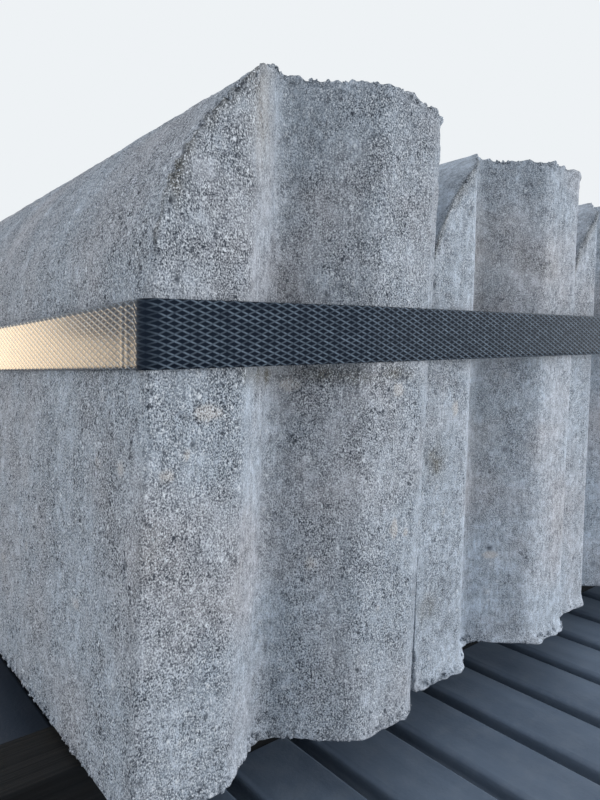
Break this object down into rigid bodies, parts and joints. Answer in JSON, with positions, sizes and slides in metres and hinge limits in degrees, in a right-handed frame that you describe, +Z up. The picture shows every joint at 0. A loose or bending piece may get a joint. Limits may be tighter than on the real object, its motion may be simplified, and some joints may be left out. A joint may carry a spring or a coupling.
{
  "type": "pallet of lawn edging",
  "caption": "A strapped row of interlocking concrete lawn edging standing on laths on a slatted plastic pallet with fork entries on all sides.",
  "frame": {"origin": "middle of the pallet's base, on the floor", "axes": "+X across the row of blocks, along the pallet's length; +Y along each block; +Z up"},
  "size_m": [1.2, 0.8, 0.3639],
  "materials": {
    "concrete": "dry-cast grey concrete, sandy and pitted, with vertical drag marks",
    "strap": "black polyester strapping, embossed with small diamonds",
    "lath": "rough-sawn softwood, weathered brown",
    "pallet": "dark blue-grey recycled polyethylene, moulded and dusty"
  },
  "bodies": {
    "root": {"edging_block_01": "concrete", "edging_block_02": "concrete", "edging_block_03": "concrete", "edging_block_04": "concrete", "edging_block_05": "concrete", "edging_block_06": "concrete", "edging_block_07": "concrete", "edging_block_08": "concrete", "edging_block_09": "concrete", "edging_block_10": "concrete", "edging_block_11": "concrete", "strap": "strap", "lath_front": "lath", "lath_back": "lath", "pallet_deck": "pallet", "skid_front": "pallet", "skid_middle": "pallet", "skid_back": "pallet"}
  },
  "joints": []
}
